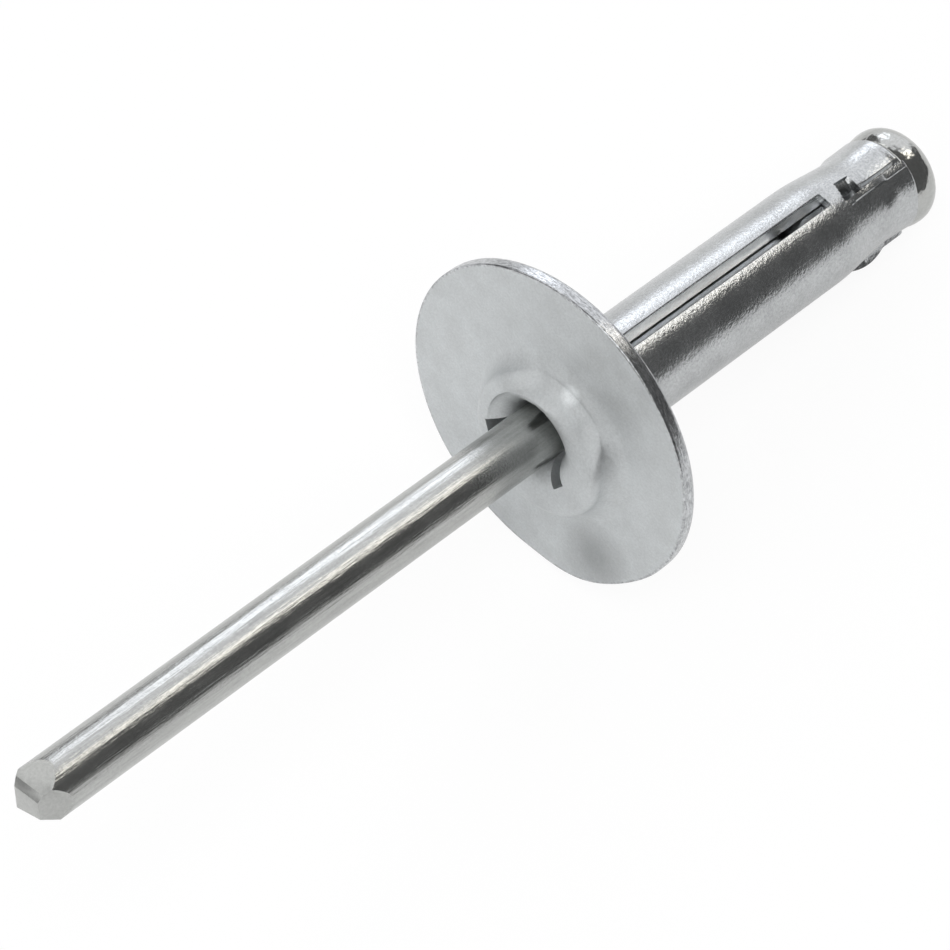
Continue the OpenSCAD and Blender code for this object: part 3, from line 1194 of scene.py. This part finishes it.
@dataclass
class Mandrel:
    """The drawn wire with its cut tip, break neck and low round head.

    Sizes in millimetres, turns and slopes in degrees. Each facet of the tip is given by its turn about the
    axis and by its distance from the axis at the end of the stem.
    """

    name: str = "drawn_mandrel"
    steps: int = 192
    sharp: float = 40.0
    stem_r: float = 1.345
    stem_l: float = 31.18
    neck_start: float = 15.7
    neck_l: float = 1.8
    neck_r: float = 0.85
    neck_flank: float = 0.756
    neck_round: float = 0.1
    body_l: float = 23.3
    head_r: float = 2.52
    head_seat_r: float = 2.36
    head_swell: float = 0.36
    head_h: float = 1.8
    head_edge_r: float = 1.0
    head_crown: float = 0.12
    tip_slope: float = 26.0
    step_slope: float = 56.0
    facets: tuple[Pair, ...] = ((53.8, 0.67), (140.8, 0.68), (221.3, 0.64), (322.5, 0.75))
    step: Pair = (53.8, 0.44)
    tip_edge: float = 0.045

    def blank(self) -> Solid:
        """Turns the wire, the neck and the head from half a section.

        Returns:
            The closed blank with a square tip.
        """
        top = self.body_l + self.head_h
        corners = [
            (0.0, -self.stem_l),
            (self.stem_r, -self.stem_l),
            (self.stem_r, self.neck_start),
            (self.neck_r, self.neck_start + self.neck_flank),
            (self.neck_r, self.neck_start + self.neck_l - self.neck_flank),
            (self.stem_r, self.neck_start + self.neck_l),
            (self.stem_r, self.body_l),
            (self.head_seat_r, self.body_l),
            (self.head_r, self.body_l + self.head_swell),
            (self.head_r, top),
            (0.0, top),
        ]
        rounds = {
            9: (self.head_edge_r, 14),
            8: (self.head_swell, 8),
            7: (0.05, 2),
            3: (self.neck_round, 2),
            4: (self.neck_round, 2),
        }
        bm = section(corners, rounds)
        divide(bm, round_line(self.stem_r, -self.stem_l, self.neck_start), 90)
        divide(bm, flat_line(top, 0.0, self.head_r), 10)
        cap = self.head_r - self.head_edge_r
        for v in bm.verts:
            if v.co.z > top - ON_LINE and v.co.x < cap:
                v.co.z += self.head_crown * (1 - (v.co.x / cap) ** 2)
        turn_round(bm, self.steps)
        return bm

    def cut_facet(self, bm: Solid, turn: float, reach: float, slope: float) -> None:
        """Shears one slanted facet off the tip.

        Args:
            bm: Mesh to cut.
            turn: Turn of the facet about the axis.
            reach: Distance of the facet from the axis at the end of the stem.
            slope: Angle of the facet to the axis.
        """
        a, b = math.radians(turn), math.radians(slope)
        out = Vector((math.cos(a), math.sin(a), 0))
        ahead = Vector((0, 0, 1))
        shear(bm, out * reach - ahead * self.stem_l, out * math.cos(b) - ahead * math.sin(b))

    def build(self, lay: Lay) -> bpy.types.Object:
        """Makes the mandrel as one piece.

        Args:
            lay: How the rivet lies.

        Returns:
            The piece, laid down in the frame.
        """
        bm = self.blank()
        for turn, reach in self.facets:
            self.cut_facet(bm, turn, reach, self.tip_slope)
        self.cut_facet(bm, *self.step, self.step_slope)
        bmesh.ops.recalc_face_normals(bm, faces=bm.faces)
        bm.normal_update()
        # The edges between the facets are broken a little.
        near_tip = [e for e in bm.edges if e.is_manifold and e.verts[0].co.z < -self.stem_l + 4]
        edges = [e for e in near_tip if e.calc_face_angle(0) > math.radians(14)]
        bmesh.ops.bevel(
            bm, geom=edges, affect="EDGES", offset=self.tip_edge, offset_type="OFFSET",
            segments=3, profile=0.5, material=-1, clamp_overlap=True,
        )
        bmesh.ops.recalc_face_normals(bm, faces=bm.faces)
        return finish_piece(bm, self.name, lay, self.sharp)


def lie_down(body: RivetBody, mandrel: Mandrel) -> Lay:
    """Works out how the rivet comes to rest: on the back edge of its rim and on the edge of its head.

    Both edges are rounded, so the floor touches an arc of each. The frame's middle lies halfway between
    the top of the head and the lowest corner of the cut tip.

    Args:
        body: The pressed body.
        mandrel: The mandrel.

    Returns:
        How the rivet lies.
    """
    rim_s, rim_r = body.flange_t - body.rim_back_r, body.flange_r - body.rim_back_r
    edge_s = mandrel.body_l + mandrel.head_h - mandrel.head_edge_r
    edge_r = mandrel.head_r - mandrel.head_edge_r
    along, across = edge_s - rim_s, rim_r - edge_r
    tilt = math.atan2(across, along)
    tilt += math.asin((body.rim_back_r - mandrel.head_edge_r) / math.hypot(along, across))
    lift = rim_s * math.sin(tilt) + rim_r * math.cos(tilt) + body.rim_back_r

    # The lowest corner of the tip is where the last two facets meet.
    (turn_a, reach_a), (turn_b, reach_b) = mandrel.facets[-2:]
    a, b, down = (math.radians(turn) for turn in (turn_a, turn_b, Lay.down_turn))
    corner_x = (reach_a * math.sin(b) - reach_b * math.sin(a)) / math.sin(b - a)
    corner_y = (reach_b * math.cos(a) - reach_a * math.cos(b)) / math.sin(b - a)
    corner_down = corner_x * math.cos(down) + corner_y * math.sin(down)
    high = edge_s * math.cos(tilt) + edge_r * math.sin(tilt) + mandrel.head_edge_r
    low = -mandrel.stem_l * math.cos(tilt) - corner_down * math.sin(tilt)
    return Lay(math.degrees(tilt), -(high + low) / 2, lift)


@dataclass(frozen=True)
class Softbox:
    """A plain studio softbox that faces the rivet. Distances in metres, angles in degrees."""

    name: str
    compass: float
    height: float
    width: float
    depth: float
    radiance: float
    colour: str = "FFFFFF"
    distance: float = 0.5
    in_reflections: bool = True

    def build(self, target: Vector) -> bpy.types.Object:
        """Sets the lamp up.

        Args:
            target: Point that it faces.

        Returns:
            The lamp.
        """
        a, e = math.radians(self.compass), math.radians(self.height)
        out = Vector((math.cos(a) * math.cos(e), math.sin(a) * math.cos(e), math.sin(e)))
        lamp = bpy.data.lights.new(self.name, "AREA")
        lamp.shape, lamp.size, lamp.size_y = "RECTANGLE", self.width, self.depth
        lamp.energy = self.radiance * math.pi * self.width * self.depth
        lamp.color = linear(self.colour)[:3]
        obj = bpy.data.objects.new(self.name, lamp)
        obj.location = target + out * self.distance
        obj.rotation_euler = (-out).to_track_quat("-Z", "Y").to_euler()
        obj.visible_glossy = self.in_reflections
        bpy.context.scene.collection.objects.link(obj)
        return obj


@dataclass
class Studio:
    """The pale floor, the soft light and the camera. Distances in metres, angles in degrees."""

    camera_at: tuple[float, float, float] = (-0.064523, -0.062319, 0.172396)
    camera_height: float = 61.493
    camera_heading: float = 45.247
    view_angle: float = 12.820
    sensor: float = 36.0
    floor_side: float = 4.0
    floor_glow: float = 0.92
    floor_mirrored: float = 0.2
    paper: str = "F6F6F6"
    white: str = "FFFFFF"
    world: float = 0.14
    boxes: tuple[Softbox, ...] = (
        Softbox("left_bank", 33, 29, 0.62, 0.64, 1.1, "FBFCFF", 0.56),
        Softbox("left_strip", 51, 20, 0.13, 0.17, 1.9, "F1F6FF", 0.5),
        Softbox("top_strip", -5, 49, 0.085, 0.22, 2.8, "FFF9EE", 0.5),
        Softbox("back_bank", 98, 42, 0.44, 0.40, 1.1, "FFFFFF", 0.56),
        Softbox("overhead", -160, 74, 0.24, 0.24, 2.0, "FFFFFF", 0.5),
        Softbox("front_fill", 172, 34, 0.50, 0.40, 1.65, "FFFFFF", 0.6),
        Softbox("key", -120, 66, 0.40, 0.40, 3.4, "FFFFFF", 0.6, False),
    )

    def floor_paper(self) -> bpy.types.Material:
        """Makes the floor's paper: nearly white to the camera, dim in reflections, and lit for the rest.

        Returns:
            The material.
        """
        mat, tree = start_material("white_paper")
        rays = add_node(tree, Kind.RAYS).outputs
        inputs = {0: rays["Is Glossy Ray"], 1: rays["Is Transmission Ray"]}
        mirrored = add_node(tree, Kind.MATH, inputs, operation="MAXIMUM").outputs[0]
        inputs = {0: mirrored, 1: self.floor_mirrored}
        mirrored = add_node(tree, Kind.MATH, inputs, operation="MULTIPLY").outputs[0]
        inputs = {0: rays["Is Camera Ray"], 1: self.floor_glow, 2: mirrored}
        share = add_node(tree, Kind.MATH, inputs, operation="MULTIPLY_ADD").outputs[0]
        paper = add_node(tree, Kind.PAPER, {"Color": linear(self.paper)}).outputs[0]
        glow = add_node(tree, Kind.GLOW, {"Color": linear(self.white), "Strength": 1.0}).outputs[0]
        both = add_node(tree, Kind.MIX_SHADERS, {0: share, 1: paper, 2: glow}).outputs[0]
        add_node(tree, Kind.SURFACE, {"Surface": both})
        return mat

    def floor(self) -> bpy.types.Object:
        """Lays the floor, which keeps a faint shadow.

        Returns:
            The floor.
        """
        bm = bmesh.new()
        bmesh.ops.create_grid(bm, x_segments=1, y_segments=1, size=self.floor_side / 2)
        mesh = bpy.data.meshes.new("floor")
        bm.to_mesh(mesh)
        bm.free()
        mesh.materials.append(self.floor_paper())
        floor = bpy.data.objects.new("floor", mesh)
        bpy.context.scene.collection.objects.link(floor)
        floor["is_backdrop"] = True
        return floor

    def sky(self) -> None:
        """Makes the dim room round the lights, white only where the camera sees it."""
        world = bpy.data.worlds.new("studio")
        bpy.context.scene.world = world
        world.use_nodes = True
        tree = world.node_tree
        tree.nodes.clear()
        seen = add_node(tree, Kind.RAYS).outputs["Is Camera Ray"]
        inputs = {"Factor": seen, "A": self.world, "B": 1.0}
        level = add_node(tree, Kind.MIX, inputs, data_type="FLOAT").outputs["Result"]
        back = add_node(tree, Kind.BACKGROUND, {"Color": linear(self.white), "Strength": level})
        add_node(tree, Kind.WORLD, {"Surface": back.outputs[0]})

    def camera(self) -> None:
        """Sets the camera at the photograph's viewing angle."""
        data = bpy.data.cameras.new("camera")
        data.sensor_width = self.sensor
        data.lens = self.sensor / 2 / math.tan(math.radians(self.view_angle / 2))
        data.clip_start, data.clip_end = 0.01, 20.0
        cam = bpy.data.objects.new("camera", data)
        cam.location = self.camera_at
        pitch, heading = math.radians(90 - self.camera_height), math.radians(-self.camera_heading)
        cam.rotation_euler = Euler((pitch, 0, heading), "XYZ")
        bpy.context.scene.collection.objects.link(cam)
        bpy.context.scene.camera = cam

    def build(self, target: Vector) -> None:
        """Sets up the whole studio.

        Args:
            target: Middle of the rivet.
        """
        self.floor()
        self.sky()
        for box in self.boxes:
            box.build(target)
        self.camera()
        bpy.context.scene.view_settings.view_transform = "Standard"


def dress(piece: bpy.types.Object, material: bpy.types.Material, node: str) -> None:
    """Gives a piece its material and ties it to the frame.

    Args:
        piece: The finished piece.
        material: Its material.
        node: CAD node that it stands for.
    """
    piece.data.materials.append(material)
    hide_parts(node)
    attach(piece, "root")
    log.info("%s stands for %s, %d faces", piece.name, node, len(piece.data.polygons))


def main() -> None:
    """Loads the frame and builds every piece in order."""
    logging.basicConfig(level=logging.INFO, format="%(name)s: %(message)s")
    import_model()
    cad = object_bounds()
    body, mandrel = RivetBody(), Mandrel()
    lay = lie_down(body, mandrel)
    dress(body.build(lay), PressedAluminium().build(lay), "rivet_body")
    dress(mandrel.build(lay), DrawnWire().build(lay), "mandrel")
    Studio().build((cad[0] + cad[1]) / 2)


if __name__ == "__main__":
    main()
